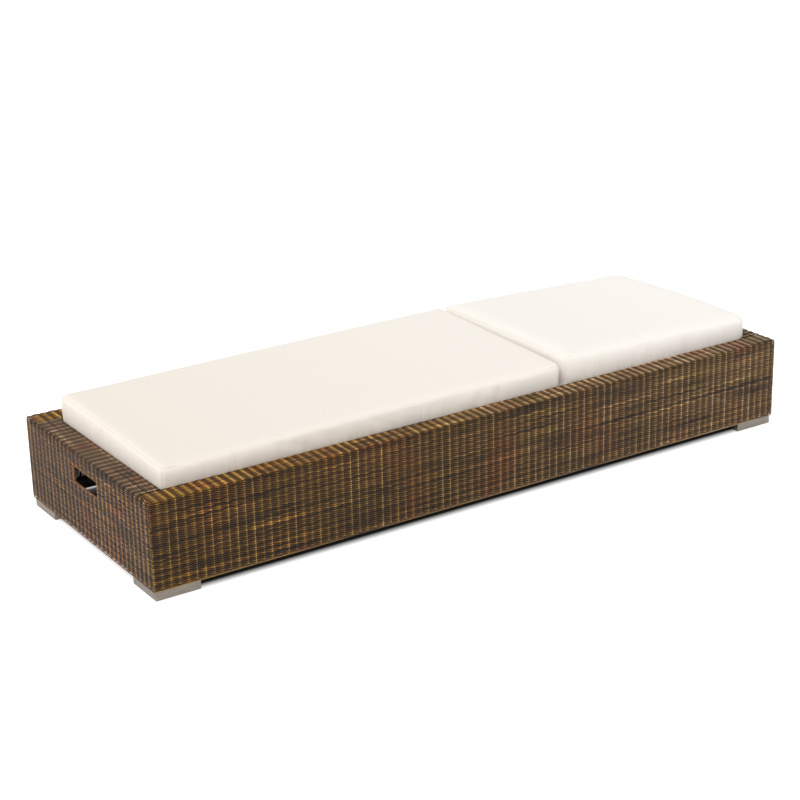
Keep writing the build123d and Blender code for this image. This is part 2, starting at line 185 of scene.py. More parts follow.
# Painted light from the ridge value: painted shade in the valleys and on the right flanks, and a pale
# bluish-grey painted highlight on the crests.
painted_shade_and_highlight = add_node(
    wicker,
    "ShaderNodeValToRGB",
    {"Fac": relief.outputs["Fac"]},
    stops=(
        (0.0, (0.04, 0.03, 0.02, 1.0)),
        (0.28, (0.32, 0.24, 0.08, 1.0)),
        (0.45, (0.76, 0.66, 0.42, 1.0)),
        (0.86, (1.20, 1.20, 1.30, 1.0)),
        (1.0, (4.6, 5.6, 10.5, 1.0)),
    ),
)
wicker_colour = strand_colours.outputs["Color"]
for factor in (
    drift_colours.outputs["Color"],
    bobbin_tint_and_painted_light.outputs["Vector"],
    painted_shade_and_highlight.outputs["Color"],
):
    product = add_node(wicker, "ShaderNodeVectorMath", {0: wicker_colour, 1: factor}, operation="MULTIPLY")
    wicker_colour = product.outputs["Vector"]
wicker_shader = add_node(
    wicker,
    "ShaderNodeBsdfPrincipled",
    {"Base Color": wicker_colour, "Roughness": 0.4, "IOR": 1.5, "Specular IOR Level": 0.3},
)
add_node(wicker, "ShaderNodeOutputMaterial", {"Surface": wicker_shader.outputs["BSDF"]})
print(wicker.name, len(wicker.node_tree.nodes), "nodes")

# %% [markdown]
# ## Weaving
#
# The base is woven like a basket. Thin stakes stand side by side, and round strands run along them,
# over one stake and under the next, each row opposite to the row below. That raises one broad ridge at
# every stake with a dark valley between two ridges.
#
# A picture of a weave on a flat wall would lose those ridges at the edges, so every strand is a real
# tube here. A mat is woven flat from curves with a round bevel, which costs few points, and then bent
# over the frame, as the maker bends it. Where the mat turns over the rim's edge, the strands are pulled
# tight and thin, so that they show one by one there.

# %% Sizes of the base
front_low, front_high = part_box("front_weave")
half_length, half_width = front_high.x, -front_low.y
rim_height, base_height = front_high.z, front_low.z
rim_width = front_high.y - front_low.y
lip_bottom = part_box("leg_deck_bearer_1")[1].z
inside_half_length = half_length - rim_width
inside_half_width = half_width - rim_width
corner_radius, edge_radius, lip_radius = 4 * mm, 6 * mm, 6 * mm
print("half length", half_length, "half width", half_width, "rim", rim_width, rim_height)

# %% Sizes of the weave
# A strand is pressed broad on a crest, less on the flanks, and it is thin close to the rim's edge.
strand_radius = 0.9 * mm
crest_breadth, flank_breadth, edge_breadth = 2.7, 1.5, 0.6
thin_within, broad_from = 5 * mm, 12 * mm
row_pitch, first_row = 2.8 * mm, 5 * mm
# How far a strand rises over a stake and sinks behind one. On the rim it rises less.
front_lift, back_lift, rim_lift_share = 2.0 * mm, 1.2 * mm, 0.65
# Along a strand, lengths are counted in stakes. No bend lies nearer to a strand's end than the second.
crest_half_width, end_room = 0.12, 0.02
long_columns, end_columns = 86, 30
stake_radius, stake_breadth, stake_lift, stake_step = 0.7 * mm, 3.4, 0.4 * mm, 6 * mm
# The middle of the mat lies that far inside the model's outer face. The crests stand proud of it.
crest_proud = 1.2 * mm
skin_depth = front_lift + strand_radius - crest_proud
# Painted light along a ridge: painted shade on its right flank, its left flank and its valley, and a painted
# highlight of 1 on a crest.
long_wall_painted_light = (0.33, 0.50, 0.31)
end_wall_painted_light = (0.84, 0.62, 0.08)
rim_painted_light = (0.84, 0.60, 0.04)
# Painted light of strands passing behind a stake, of the stakes and of the borders. The first two lie in
# painted shade.
behind_painted_light, stake_painted_light, border_painted_light = 0.6, 0.25, 0.7
print("stakes", 2 * (long_columns + end_columns + 2), "skin depth", round(skin_depth / mm, 2), "mm")

# %% [markdown]
# ### Bobbins
#
# The weaver works with many bobbins, and changes them every two or three rows. Their colours differ, so that
# a wall shows fine level stripes, lighter and darker by turns. The stripes are weaker on the rim, on the
# crests and towards the head end, and a little stronger on the two ends. The long sides go from golden brown
# at the foot end to greyer and lighter at the head end, and the two ends are greyish all over. Besides the
# strands' colour, these side tints hold painted light: the long sides are painted lighter towards the head
# end, where more light falls, the rims lighter than the walls, as lit from above, and the end walls darker, a
# painted shade against the light from the foot end.

# %% Bobbins and their tints
random = np.random.default_rng(7)
row_numbers = 997  # after as many rows, the bobbins come in the same order again
bobbin_of_row = np.repeat(np.arange(row_numbers), random.integers(2, 4, row_numbers))[:row_numbers]
# A tone is how much lighter or darker than its side's tint a bobbin is.
tone_of_bobbin = random.uniform(0.2, 0.6, row_numbers) * (-1) ** np.arange(row_numbers)
tone_of_row = tone_of_bobbin[bobbin_of_row]
rim_tone_share, crest_tone_share, end_tone_share, head_tone_share = 0.3, 0.5, 1.2, 0.6
# Stakes and borders take their bobbins from these numbers on.
first_stake_number, first_border_number = 1000, 2000
# Red, green and blue factors at four places along the base. They are the strands' colour and painted light
# together: lighter towards the head end and on the rims, darker on the end walls. Near a corner, an end's
# strands are those of the long side.
turned_width = 22 * mm
tint_places = (-0.9, -0.3, 0.3, 0.9)
wall_tints_and_painted_light = np.array(((0.76, 0.64, 0.25), (0.83, 0.74, 0.42), (0.92, 0.91, 0.82), (1.22, 1.26, 1.40)))
rim_tints_and_painted_light = np.array(((1.73, 1.47, 0.47), (1.38, 1.24, 0.68), (1.74, 1.70, 1.66), (1.46, 1.54, 1.66)))
end_wall_tint_and_painted_shade = np.array((0.60, 0.43, 0.18))
end_rim_tint_and_painted_light = np.array((1.01, 0.97, 0.94))
print("bobbins", bobbin_of_row[-1] + 1, "tones", tone_of_row.min().round(2), tone_of_row.max().round(2))

# %% Bending a flat mat over the frame
# The mat climbs the wall, turns over the edge, crosses the rim, turns down and ends as the inner lip.
wall_run = rim_height - edge_radius - base_height
edge_run = edge_radius * pi / 2
rim_run = rim_width - edge_radius - lip_radius
lip_edge_run = lip_radius * pi / 2
lip_run = rim_height - lip_radius - lip_bottom
turns = np.cumsum([0, wall_run, edge_run, rim_run, lip_edge_run, lip_run])
at_edge, at_rim, at_lip, mat_end = turns[1], turns[2], turns[4], turns[5]


def over_the_rim(climb):
    """How far in, how high and which way out (outwards, upwards) the surface is after that much climb."""
    up, over, rim, down, lip = [np.clip(climb - turns[k], 0, turns[k + 1] - turns[k]) for k in range(5)]
    over, down = over / edge_radius, down / lip_radius
    inward = edge_radius * (1 - np.cos(over)) + rim + lip_radius * np.sin(down)
    height = base_height + up + edge_radius * np.sin(over) - lip_radius * (1 - np.cos(down)) - lip
    return inward, height, np.cos(over + down), np.sin(over + down)


def bend(points, outward, is_wall):
    """Flat points (along, out of the mat, climb) on the side whose outside faces that way.

    The ends of a wall turn round the corners of the base. A rim's ends stay straight."""
    outward = np.array(outward)
    sideways = np.array((outward[1], -outward[0]))
    reach = half_width if outward[1] else half_length
    straight = (half_length if outward[1] else half_width) - corner_radius
    along, out, climb = points.T
    inward, height, level, upright = over_the_rim(climb)
    out = out - skin_depth
    inward = inward - out * level
    height = height + out * upright
    turned = np.clip(np.abs(along) - straight, 0, None) / corner_radius * is_wall
    on_line = np.where(turned > 0, np.sign(along) * straight, along)
    radius = np.where(turned > 0, corner_radius - inward, 0)
    side = on_line + np.sign(along) * radius * np.sin(turned)
    depth = np.where(turned > 0, reach - corner_radius + radius * np.cos(turned), reach - inward)
    flat = np.outer(side, sideways) + np.outer(depth, outward)
    return np.column_stack((flat, height))


print("a mat is", round(mat_end / mm), "mm from the bottom edge to the lip")


# %% Tubes, and what is written on them
def tubes(name, lines, radius):
    """One mesh of round tubes along those lines."""
    curve = bpy.data.curves.new(name, "CURVE")
    curve.dimensions = "3D"
    curve.bevel_depth = radius
    curve.bevel_resolution = 1
    curve.use_fill_caps = True
    for line in lines:
        spline = curve.splines.new("POLY")
        spline.points.add(len(line) - 1)
        spline.points.foreach_set("co", np.column_stack((line, np.ones(len(line)))).ravel())
    holder = bpy.data.objects.new(name, curve)
    mesh = bpy.data.meshes.new_from_object(holder)
    bpy.data.objects.remove(holder)
    return mesh


def vertices_of(mesh):
    """The mesh's points, one row each."""
    points = np.empty(len(mesh.vertices) * 3)
    mesh.vertices.foreach_get("co", points)
    return points.reshape(-1, 3)


def write_strand_map(mesh, along, bobbin):
    """The strand map: metres along the strand, and the number of its bobbin."""
    layer = mesh.uv_layers[0]
    layer.name = "strand"
    corners = np.empty(len(mesh.loops), dtype=np.int32)
    mesh.loops.foreach_get("vertex_index", corners)
    layer.data.foreach_set("uv", np.column_stack((along[corners], bobbin[corners])).ravel())


def place_piece(name, form, material, body, replaced):
    """Makes the object from its bmesh, rides it on its body and hides the node that it stands for."""
    for face in form.faces:
        face.smooth = True
    mesh = bpy.data.meshes.new(name)
    form.to_mesh(mesh)
    form.free()
    mesh.materials.append(material)
    piece = bpy.data.objects.new(name, mesh)
    scene.collection.objects.link(piece)
    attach(piece, body)
    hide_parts(replaced)
    print(name, "triangles", sum(len(p.vertices) - 2 for p in mesh.polygons))
    return piece


# %% Flat strands
def strand_line(row, start, stop, pitch):
    """One strand's bends: over each stake of its row's turn, under the next. Places are in stakes."""
    first, last = start / pitch, stop / pitch
    places = [first, last]
    for stake in range(int(np.ceil(first)), int(np.floor(last)) + 1):
        bends = (-crest_half_width, 0, crest_half_width, 0.5) if (stake + row) % 2 else (0, 0.5)
        places += [stake + bend for bend in bends if first + end_room < stake + bend < last - end_room]
    places = np.array(sorted(places))
    nearest = np.round(places)
    off = np.abs(places - nearest)
    crest = np.interp(off, (0, crest_half_width, 0.5), (1, 0.8, 0)) * random.uniform(0.9, 1.0, len(off))
    in_front = (nearest + row) % 2 == 1
    return places, np.where(in_front, crest * front_lift, back_lift * (2 * off - 1))


def flat_strands(name, runs, pitch, columns, wander, ridge_painted_light, lift_share):
    """The strands of a mat as one mesh, with each point's row and painted ridge light. Runs are row, start,
    stop.
    """
    lines = []
    for row, start, stop in runs:
        climb = row_climbs[row]
        places, lift = strand_line(row, start, stop, pitch)
        lean = np.interp(places + columns / 2, np.arange(columns + 1), wander[0] + climb * wander[1])
        lines.append(np.column_stack((places * pitch + lean, lift * lift_share, np.full(len(places), climb))))
    strands = tubes(name + "_strands", lines, strand_radius)
    flat = vertices_of(strands)
    rows = np.abs(flat[:, 2:] - row_climbs).argmin(axis=1)
    middle = row_climbs[rows]
    share = flat[:, 0] / pitch
    aside = share - np.round(share)
    in_front = (np.round(share) + rows) % 2 == 1
    off = np.where(in_front, np.abs(aside), 0.5)
    breadth = np.interp(off, (crest_half_width + 0.05, 0.4), (crest_breadth, flank_breadth))
    breadth = breadth * np.interp(np.abs(middle - at_edge), (thin_within, broad_from), (edge_breadth, 1))
    flat[:, 2] = middle + (flat[:, 2] - middle) * breadth
    strands.vertices.foreach_set("co", flat.ravel())
    # Painted light along a ridge: a highlight on the crest, and shade on the flanks, in the valley and on
    # strands that pass behind a stake.
    right, left, valley = ridge_painted_light
    ridge_places = (-0.5, -crest_half_width, 0, crest_half_width, 0.5)
    on_ridge = np.interp(np.where(in_front, aside, 0.5), ridge_places, (valley, right, 1, left, valley))
    return strands, rows, np.where(in_front, on_ridge, behind_painted_light * np.abs(aside))


# %% Flat stakes and borders
def flat_stakes(name, runs, pitch, columns, wander):
    """The stakes of a mat as one mesh, with each point's number and painted shade. Runs are column, start,
    stop.
    """
    lines = []
    for column, start, stop in runs:
        climbs = np.linspace(start, stop, max(2, int((stop - start) / stake_step)))
        place = np.full(len(climbs), (column - columns / 2) * pitch)
        lines.append(np.column_stack((place, np.full(len(climbs), stake_lift), climbs)))
    stakes = tubes(name + "_stakes", lines, stake_radius)
    flat = vertices_of(stakes)
    column = np.round(flat[:, 0] / pitch + columns / 2).astype(int)
    place = (column - columns / 2) * pitch
    broad = place + (flat[:, 0] - place) * stake_breadth
    flat[:, 0] = broad + wander[0][column] + flat[:, 2] * wander[1][column]
    stakes.vertices.foreach_set("co", flat.ravel())
    return stakes, first_stake_number + column, np.full(len(column), stake_painted_light)


def flat_border(name, line, number):
    """One border strand, with each point's number and painted light."""
    strand = tubes(name + "_border", [line], border_radius)
    points = len(strand.vertices)
    return strand, np.full(points, first_border_number + number), np.full(points, border_painted_light)


def edge_line(start, stop, out, climb):
    """The line of the strand that closes the bottom edge."""
    run = np.linspace(start, stop, 2 * long_columns)
    return np.column_stack((run, np.full(len(run), out), np.full(len(run), climb)))


def slot_line(half_wide, low, high, radius, out):
    """The line of a strand laid round the carrying slot."""
    points = []
    for across, up, first in ((1, 1, 0), (-1, 1, 90), (-1, -1, 180), (1, -1, 270)):
        for step in range(5):
            angle = radians(first + 22.5 * step)
            middle = (across * (half_wide - radius), (high if up > 0 else low) - up * radius)
            points.append((middle[0] + radius * cos(angle), out, middle[1] + radius * sin(angle)))
    return np.array(points + points[:1])


# %% A woven piece
def tints(points, on_rim, is_end):
    """The tint of the strands at each point, painted light included. The long sides' strands turn the corner
    by one rib.
    """
    long_side = np.column_stack([
        np.where(
            on_rim,
            np.interp(points[:, 0], tint_places, rim_tints_and_painted_light[:, k]),
            np.interp(points[:, 0], tint_places, wall_tints_and_painted_light[:, k]),
        )
        for k in range(3)
    ])
    end_side = np.where(on_rim[:, None], end_rim_tint_and_painted_light, end_wall_tint_and_painted_shade)
    turned = np.abs(points[:, 1]) > half_width - turned_width
    return np.where((is_end & ~turned)[:, None], end_side, long_side)


def woven(name, node, outward, strand_runs, stake_runs, is_wall, border_lines=()):
    """A woven piece: its strands, stakes and borders, coloured, bent over the frame and joined."""
    is_end = outward[0] != 0
    columns, pitch, wander = stakes_of[outward]
    ridge_painted_light = (end_wall_painted_light if is_end else long_wall_painted_light) if is_wall else rim_painted_light
    lift_share = 1 if is_wall else rim_lift_share
    parts = [
        flat_strands(name, strand_runs, pitch, columns, wander, ridge_painted_light, lift_share),
        flat_stakes(name, stake_runs, pitch, columns, wander),
    ]
    parts += [flat_border(name, line, number) for number, line in enumerate(border_lines)]
    form = bmesh.new()
    for mesh, number, painted_light_level in parts:
        flat = vertices_of(mesh)
        bent = bend(flat, outward, is_wall)
        number = number % row_numbers
        write_strand_map(mesh, flat[:, 0], bobbin_of_row[number].astype(float))
        on_rim = flat[:, 2] > at_edge
        tone_share = np.where(on_rim, rim_tone_share, end_tone_share if is_end else 1)
        tone_share = tone_share * np.where(painted_light_level > 0.9, crest_tone_share, 1)
        tone_share = tone_share * np.interp(bent[:, 0], (-0.2, 0.8), (1, head_tone_share))
        # The side's tint, with its painted light, times the bobbin's tone.
        tint = tints(bent, on_rim, is_end) * (1 + tone_of_row[number] * tone_share)[:, None]
        # Each point gets its painted ridge light and its tint, and the tint holds painted light too.
        mesh.attributes.new("relief", "FLOAT", "POINT").data.foreach_set("value", painted_light_level)
        mesh.attributes.new("tint", "FLOAT_VECTOR", "POINT").data.foreach_set("vector", tint.ravel())
        mesh.vertices.foreach_set("co", bent.ravel())
        form.from_mesh(mesh)
        bpy.data.meshes.remove(mesh)
    bmesh.ops.remove_doubles(form, verts=form.verts, dist=0.001 * mm)
    return place_piece(name, form, wicker, "base", node)


# %% Rows and stakes of the four sides
row_count = round((mat_end - first_row) / row_pitch)
row_climbs = first_row + (np.arange(row_count) + 0.5) * (mat_end - first_row) / row_count
first_rim_row = int(np.searchsorted(row_climbs, at_rim))
wall_rows, rim_rows = range(first_rim_row), range(first_rim_row, row_count)
sides = {"front": (0, -1), "back": (0, 1), "foot_end": (-1, 0), "head_end": (1, 0)}
# No stake stands quite in its place (0.7 mm) or quite upright (6 mm in a metre).
stake_wander, stake_lean = 0.7 * mm, 0.006
reaches, stakes_of = {}, {}
for side, outward in sides.items():
    half_side, columns = (half_width, end_columns) if outward[0] else (half_length, long_columns)
    reaches[side] = half_side - corner_radius + corner_radius * pi / 4
    wander = random.uniform(-1, 1, (2, columns + 1)) * ((stake_wander,), (stake_lean,))
    stakes_of[outward] = columns, 2 * reaches[side] / columns, wander
print("rows", row_count, "of them on the walls", len(wall_rows))

# %% [markdown]
# ### Walls and rims
#
# Each side is made in pieces, so that no mesh gets too heavy: an end in a wall and a rim, a long side
# in two walls and a rim. The walls of the two ends have a slot to carry the lounger by, with two
# strands laid round its edge.

# %% Where the strands and stakes run
slot_half_width, slot_radius = 67.5 * mm, 7 * mm
slot_bottom, slot_top = 171 * mm, 214 * mm
border_radius, border_room, slot_border_room = 1.4 * mm, 2 * mm, 1 * mm
edge_border_out, edge_border_climb, slot_border_outs = 1.4 * mm, 2 * mm, (-0.8 * mm, 1.2 * mm)
rim_gap = 1 * mm
slot_clear = slot_half_width + border_room
slot_from, slot_to = slot_bottom - border_room, slot_top + border_room
rounding = 1e-6


def wall_strands(start, stop, is_end):
    """The runs of a wall's strands. An end's rows stop at the carrying slot and go on behind it."""
    runs = []
    for row in wall_rows:
        if is_end and slot_from < base_height + row_climbs[row] < slot_to:
            runs += [(row, start, -slot_clear), (row, slot_clear, stop)]
        else:
            runs.append((row, start, stop))
    return runs


def wall_stakes(outward, start, stop):
    """The runs of a wall's stakes, below and above the carrying slot or all the way up."""
    columns, pitch, wander = stakes_of[outward]
    runs = []
    for column in range(columns + 1):
        place = (column - columns / 2) * pitch
        if start - rounding <= place <= stop + rounding:
            if outward[0] and abs(place) < slot_clear:
                runs += [(column, 0, slot_from - base_height), (column, slot_to - base_height, at_rim)]
            else:
                runs.append((column, 0, at_rim))
    return runs


def rim_stakes(outward, rim_reach, lip_reach):
    """The runs of a rim's stakes. Those past the lip's ends stop where the lip starts."""
    columns, pitch, wander = stakes_of[outward]
    runs = []
    for column in range(columns + 1):
        place = abs((column - columns / 2) * pitch)
        if place < rim_reach:
            runs.append((column, at_rim, mat_end if place < lip_reach else at_lip))
    return runs


print("carrying slot", round(2 * slot_half_width / mm), "by", round((slot_top - slot_bottom) / mm), "mm")

# %% The four woven sides
for side, outward in sides.items():
    node, reach, is_end = f"{side}_weave", reaches[side], outward[0] != 0
    walls = {"wall_weave": (-reach, reach)} if is_end else {
        "wall_weave_1": (-reach, 0), "wall_weave_2": (0, reach)
    }
    for wall, (start, stop) in walls.items():
        border_lines = [edge_line(start, stop, edge_border_out, edge_border_climb)]
        if is_end:
            slot_low = slot_bottom - base_height - slot_border_room
            slot_high = slot_top - base_height + slot_border_room
            border_lines += [
                slot_line(slot_half_width + slot_border_room, slot_low, slot_high, slot_radius, out)
                for out in slot_border_outs
            ]
        strand_runs, stake_runs = wall_strands(start, stop, is_end), wall_stakes(outward, start, stop)
        woven(f"{side}_{wall}", node, outward, strand_runs, stake_runs, True, border_lines)
    # The rims of the ends fit between the rims of the long sides.
    lip_reach = (inside_half_width if is_end else inside_half_length) - rim_gap
    rim_reach = lip_reach if is_end else half_length - edge_radius
    strand_runs = []
    for row in rim_rows:
        limit = lip_reach if row_climbs[row] > at_lip else rim_reach
        strand_runs.append((row, -limit, limit))
    stake_runs = rim_stakes(outward, rim_reach, lip_reach)
    woven(f"{side}_rim_weave", node, outward, strand_runs, stake_runs, False)

# %% [markdown]
# ## Metal and plastic
#
# The frame tubes, deck slats and prop stay keep the shapes of the construction model, and only need
# their finishes. The frame is aluminium with a baked powder coat, which is matt and slightly dimpled.
# The prop stay is zinc-plated steel, the pins and screws are stainless steel. The block feet are
# pressed from brushed aluminium: fine lines run round them and blur what they mirror.

# %% Finishes of the frame, the feet and the fittings


def finish_of(name, colour, darker, grain, stretch, bump_depth, metallic, roughness):
    """A finish with grain. Grain is its size in metres, and stretch draws it out along one axis."""
    material = new_material(name)
    place = add_node(material, "ShaderNodeTexCoord")
    mapping = add_node(material, "ShaderNodeMapping", {"Vector": place.outputs["Object"], "Scale": stretch})
    noise = add_node(
        material,
        "ShaderNodeTexNoise",
        {"Vector": mapping.outputs["Vector"], "Scale": 1 / grain, "Detail": 2.0},
    )
    tone = add_node(
        material,
        "ShaderNodeValToRGB",
        {"Fac": noise.outputs["Fac"]},
        stops=((0.35, linear(darker)), (0.65, linear(colour))),
    )
    bump = add_node(
        material, "ShaderNodeBump", {"Height": noise.outputs["Fac"], "Strength": 0.6, "Distance": bump_depth}
    )
    shader = add_node(
        material,
        "ShaderNodeBsdfPrincipled",
        {
            "Base Color": tone.outputs["Color"],
            "Metallic": metallic,
            "Roughness": roughness,
            "Normal": bump.outputs["Normal"],
        },
    )
    add_node(material, "ShaderNodeOutputMaterial", {"Surface": shader.outputs["BSDF"]})
    return material


even, level_lines = (1.0, 1.0, 1.0), (0.03, 0.03, 1.0)
dimple, dent = 1.5 * mm, 0.05 * mm
finishes = {}
for slot, *finish in (
    # powder baked to a matt skin with dimples of about 1.5 mm
    ("frame_tube", "powder_coated_aluminium_bronze", "#4d4238", "#463c33", dimple, even, dent, 0, 0.55),
    ("deck_slat", "powder_coated_aluminium_taupe", "#7c6f60", "#736656", dimple, even, dent, 0, 0.55),
    # turned on a lathe: bright, and nearly smooth
    ("steel_fastener", "turned_stainless_steel", "#b8b5b0", "#a5a29d", 0.8 * mm, even, 0.01 * mm, 1, 0.3),
    # zinc grows in grey patches of about 6 mm, duller than the steel
    ("prop_steel", "zinc_plated_steel", "#a9a8a5", "#8e8d8c", 6 * mm, even, 0.01 * mm, 1, 0.4),
    # brushed round: level lines 1 mm apart, which is coarser than the real ones, so that they show
    ("foot_metal", "brushed_aluminium", "#8d867c", "#777068", 1.0 * mm, level_lines, 0.03 * mm, 1, 0.45),
    # black and half matt, with the fine grain of its mould
    ("glide_plastic", "moulded_black_polyethylene", "#1c1b1a", "#161514", 0.8 * mm, even, dent, 0, 0.5),
):
    finishes[slot] = finish_of(*finish)
for row in frame["record"]["subparts"]:
    if row["material_slot"] in finishes:
        for material_slot in frame["nodes"][row["node"]].material_slots:
            material_slot.material = finishes[row["material_slot"]]
print("finishes", ", ".join(material.name for material in finishes.values()))

# %% [markdown]
# ## Cushion cloth
#
# The covers are solution-dyed acrylic canvas: a plain weave of matt threads. It shows as a very fine grain,
# with a soft edge where light comes in flat. The threads are about 0.5 mm thick. At this distance nothing of
# that is left, so the grain is drawn at 1.5 mm. Where the border hangs loose it has small upright wrinkles.
# Each cover is painted a little lighter towards the head end, a painted light for the light that grows
# stronger there.

# %% Canvas material
wave_spacing = 0.314  # a wave texture's bands lie that far apart at a scale of 1
drawn_thread = 1.5 * mm


def canvas(name, colours, reach):
    """Plain-woven acrylic canvas. It turns from the first colour to the second between those X places, a
    painted light that grows towards the head end.
    """
    material = new_material(name)
    cloth_map = add_node(material, "ShaderNodeUVMap", uv_map="cloth")
    threads = [
        add_node(
            material,
            "ShaderNodeTexWave",
            {"Vector": cloth_map.outputs["UV"], "Scale": wave_spacing / drawn_thread, "Distortion": 0.4},
            bands_direction=direction,
        )
        for direction in ("X", "Y")
    ]
    grain = add_node(
        material,
        "ShaderNodeMath",
        {0: threads[0].outputs["Fac"], 1: threads[1].outputs["Fac"]},
        operation="ADD",
    )
    mottle = add_node(
        material, "ShaderNodeTexNoise", {"Vector": cloth_map.outputs["UV"], "Scale": 9.0, "Detail": 3.0}
    )
    place = add_node(material, "ShaderNodeTexCoord")
    axes = add_node(material, "ShaderNodeSeparateXYZ", {"Vector": place.outputs["Object"]})
    # Painted light: the cloth gets lighter towards the head end.
    painted_light_towards_head = add_node(
        material,
        "ShaderNodeMapRange",
        {"Value": axes.outputs["X"], "From Min": reach[0], "From Max": reach[1]},
    )
    patchy = add_node(
        material,
        "ShaderNodeMath",
        {0: mottle.outputs["Fac"], 1: 0.3, 2: painted_light_towards_head.outputs["Result"]},
        operation="MULTIPLY_ADD",
    )
    cloth_colour = add_node(
        material,
        "ShaderNodeValToRGB",
        {"Fac": patchy.outputs["Value"]},
        stops=((0.15, linear(colours[0])), (1.0, linear(colours[1]))),
    )
    # Wrinkles about 13 mm wide and 110 mm long.
    folds_map = add_node(
        material, "ShaderNodeMapping", {"Vector": cloth_map.outputs["UV"], "Scale": (75.0, 9.0, 1.0)}
    )
    folds = add_node(
        material, "ShaderNodeTexNoise", {"Vector": folds_map.outputs["Vector"], "Scale": 1.0, "Detail": 1.0}
    )
    loose = add_node(material, "ShaderNodeAttribute", attribute_name="loose")
    wrinkles = add_node(
        material, "ShaderNodeMath", {0: folds.outputs["Fac"], 1: loose.outputs["Fac"]}, operation="MULTIPLY"
    )
    wrinkled = add_node(
        material, "ShaderNodeBump", {"Height": wrinkles.outputs["Value"], "Strength": 0.5, "Distance": 9 * mm}
    )
    bump = add_node(
        material,
        "ShaderNodeBump",
        {
            "Height": grain.outputs["Value"],
            "Strength": 0.15,
            "Distance": 0.3 * mm,
            "Normal": wrinkled.outputs["Normal"],
        },
    )
    shader = add_node(
        material,
        "ShaderNodeBsdfPrincipled",
        {
            "Base Color": cloth_colour.outputs["Color"],
            "Roughness": 0.9,
            "IOR": 1.45,
            "Specular IOR Level": 0.2,
            "Sheen Weight": 0.15,
            "Sheen Roughness": 0.5,
            "Normal": bump.outputs["Normal"],
        },
    )
    add_node(material, "ShaderNodeOutputMaterial", {"Surface": shader.outputs["BSDF"]})
    return material


leg_canvas = canvas("ivory_acrylic_canvas_leg_cushion", ("#ebe2d7", "#eee8df"), (-0.9, 0.27))
head_canvas = canvas("ivory_acrylic_canvas_head_cushion", ("#f0ebe3", "#f3eee8"), (0.3, 0.9))
print("canvas", leg_canvas.name, head_canvas.name)

# %% [markdown]
# ## Cushions
#
# A box cushion is a foam block in a sewn cover: a top, a bottom and a border strip around the side. It
# could be a rounded box, but then it looks like soap. Here the cover is cut to size first, as a closed
# grid of cloth, and blown up by Blender's cloth simulation, as the foam fills it. The bottom lies on
# the slats and stays flat, the seams hold, and the top and the borders swell between them.
#
# The base holds a cushion up to its rim. Above the rim nothing does, so the cover is cut a little
# wider there. The head cushion's foam is thicker, and lifts its head end in an arch.

# %% The cover before it is filled
cloth_cells = (12 * mm, 12 * mm, 11 * mm)
# The bulge starts that far below the rim and is whole after that much height.
bulge_below_rim, bulge_rise = 14 * mm, 10 * mm


def cover(node, edge_heights, corners, tuck, stretch, arch):
    """A closed grid of cloth in that node's space, and each point's share of the way along its box.

    Edge heights are the four top corners': front and back of the foot end, then of the head end.
    Corners are the radii of the same four, seen from above. Tuck is how much smaller than the node the
    cover is cut. Stretch is how far it bulges above the rim at the foot end, the head end, the front
    and the back, and arch lifts the middle of the head end's edge."""
    low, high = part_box(node)
    low, high = low + Vector((tuck, tuck, 0)), high - Vector((tuck, tuck, 0))
    sizes, middle = high - low, (low + high) / 2
    form = bmesh.new()
    bmesh.ops.create_cube(form, size=1.0)
    for axis, cell in enumerate(cloth_cells):
        runs = []
        for edge in form.edges:
            first, second = edge.verts
            if abs(first.co[axis] - second.co[axis]) > rounding:
                runs.append(edge)
        bmesh.ops.subdivide_edges(form, edges=runs, cuts=round(sizes[axis] / cell) - 1, use_grid_fill=True)
    form.verts.index_update()
    form.normal_update()
    across = {face: max(range(3), key=lambda axis: abs(face.normal[axis])) for face in form.faces}
    shares = []
    for vertex in form.verts:
        share = vertex.co + Vector((0.5, 0.5, 0.5))
        shares.append(share)
        front = edge_heights[0] + (edge_heights[2] - edge_heights[0]) * share.x
        back = edge_heights[1] + (edge_heights[3] - edge_heights[1]) * share.x
        top = front + (back - front) * share.y + arch * share.x * (1 - abs(2 * share.y - 1) ** 2.5)
        place = [low.x + sizes.x * share.x, low.y + sizes.y * share.y, low.z + (top - low.z) * share.z]
        corner = corners[2 * (share.x > 0.5) + (share.y > 0.5)]
        over = [abs(place[k] - middle[k]) - (sizes[k] / 2 - corner) for k in (0, 1)]
        if min(over) > 0:
            shrink = max(over) / Vector(over).length
            for k in (0, 1):
                side = 1 if place[k] > middle[k] else -1
                place[k] = middle[k] + side * (sizes[k] / 2 - corner + over[k] * shrink)
        above_rim = min(max((place[2] - rim_height + bulge_below_rim) / bulge_rise, 0), 1)
        for axis in (0, 1):
            bulge = stretch[2 * axis + (share[axis] > 0.5)]
            place[axis] += bulge * (2 * share[axis] - 1) * above_rim
        vertex.co = place
    cloth_map = form.loops.layers.uv.new("cloth")
    for face in form.faces:
        first, second = [axis for axis in range(3) if axis != across[face]]
        for loop in face.loops:
            loop[cloth_map].uv = (loop.vert.co[first], loop.vert.co[second])
    print(node, "cover", len(form.faces), "cells of cloth")
    return form, np.array(shares)


